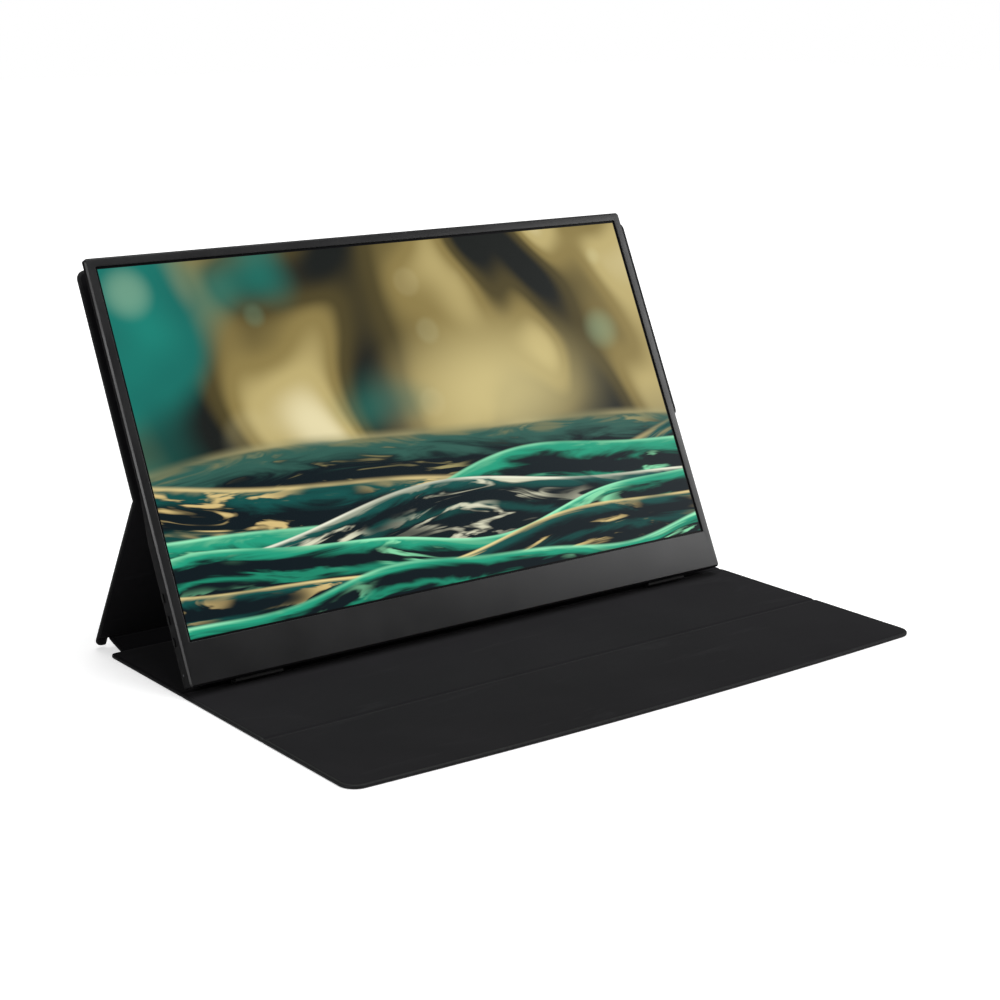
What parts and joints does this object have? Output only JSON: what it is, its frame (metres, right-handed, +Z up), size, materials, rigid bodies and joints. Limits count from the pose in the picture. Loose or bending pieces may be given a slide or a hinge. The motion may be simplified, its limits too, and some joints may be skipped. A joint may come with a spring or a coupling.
{
  "type": "portable monitor with cover",
  "caption": "Slim portable monitor leaning on its own folding cover, whose back panel and leg prop it up while hinged strips lie on the table as its base.",
  "frame": {"origin": "on the table, straight below the lower front edge of the monitor, midway along that edge", "axes": "+X runs to the right along the screen as the viewer sees it, +Y points away from the viewer, +Z is up"},
  "size_m": [0.3664, 0.2505, 0.2073],
  "materials": {
    "housing": "fine matte texture",
    "button": "matte",
    "screen": "anti-glare, lit from behind",
    "light_guide": "clear",
    "light_bar": "lit strip",
    "tray": "bare sheet",
    "circuit_board": "solder mask",
    "flat_cable": "polyimide",
    "screw": "plated",
    "socket_shell": "plated sheet",
    "headphone_socket": "moulded",
    "status_light": "clear lens",
    "speaker": "moulded frame",
    "steel_strip": "plated sheet",
    "foot": "soft rubber",
    "cover_skin": "imitation leather, fine grain",
    "board": "stiff fibre board",
    "lining": "smooth soft-touch lining",
    "magnet": "plated magnet"
  },
  "bodies": {
    "base": {"base_skin": "cover_skin", "spine_board": "board", "rear_strip_board": "board", "middle_strip_board": "board", "base_lining": "lining"},
    "leg": {"leg_skin": "cover_skin", "leg_board": "board", "leg_lining": "lining"},
    "back_panel": {"back_panel_skin": "cover_skin", "back_panel_board": "board", "back_panel_lining": "lining", "back_panel_magnets": "magnet"},
    "monitor": {"front_bezel": "housing", "display_glass": "screen", "light_guide": "light_guide", "light_bar": "light_bar", "display_tray": "tray", "display_board": "circuit_board", "display_cable": "flat_cable", "main_board": "circuit_board", "board_screws": "screw", "lower_data_socket": "socket_shell", "upper_data_socket": "socket_shell", "video_socket": "socket_shell", "headphone_socket": "headphone_socket", "button_board": "circuit_board", "status_light": "status_light", "left_speaker": "speaker", "right_speaker": "speaker", "steel_strips": "steel_strip", "rear_housing": "housing", "left_foot": "foot", "right_foot": "foot"},
    "lower_button": {"lower_button": "button"},
    "middle_button": {"middle_button": "button"},
    "upper_button": {"upper_button": "button"},
    "flap": {"flap_skin": "cover_skin", "flap_board": "board", "flap_lining": "lining", "flap_magnets": "magnet"}
  },
  "joints": [
    {"name": "leg_tilt", "type": "hinge", "parent": "base", "child": "leg", "pos_m": [0.0036, 0.09892, 0.0055], "axis": [1, 0, 0], "range_deg": [-21, 24]},
    {"name": "panel_tilt", "type": "hinge", "parent": "leg", "child": "back_panel", "pos_m": [0.0036, 0.05334, 0.09096], "axis": [1, 0, 0], "range_deg": [-48, 42]},
    {"name": "monitor_lift", "type": "slide", "parent": "back_panel", "child": "monitor", "axis": [0, 0.4384, 0.8988], "range_m": [0, 0.03]},
    {"name": "flap_fold", "type": "hinge", "parent": "base", "child": "flap", "pos_m": [0.0036, -0.06716, 0.0018], "axis": [-1, 0, 0], "range_deg": [0, 100]},
    {"name": "lower_button_press", "type": "slide", "parent": "monitor", "child": "lower_button", "axis": [1, 0, 0], "range_m": [0, 0.0004], "stiffness_N_per_m": 800, "springref_m": -0.0005},
    {"name": "middle_button_press", "type": "slide", "parent": "monitor", "child": "middle_button", "axis": [1, 0, 0], "range_m": [0, 0.0004], "stiffness_N_per_m": 800, "springref_m": -0.0005},
    {"name": "upper_button_press", "type": "slide", "parent": "monitor", "child": "upper_button", "axis": [1, 0, 0], "range_m": [0, 0.0004], "stiffness_N_per_m": 800, "springref_m": -0.0005}
  ],
  "couplings": [
    {"joint": "panel_tilt", "follows": "leg_tilt", "ratio": -2}
  ]
}
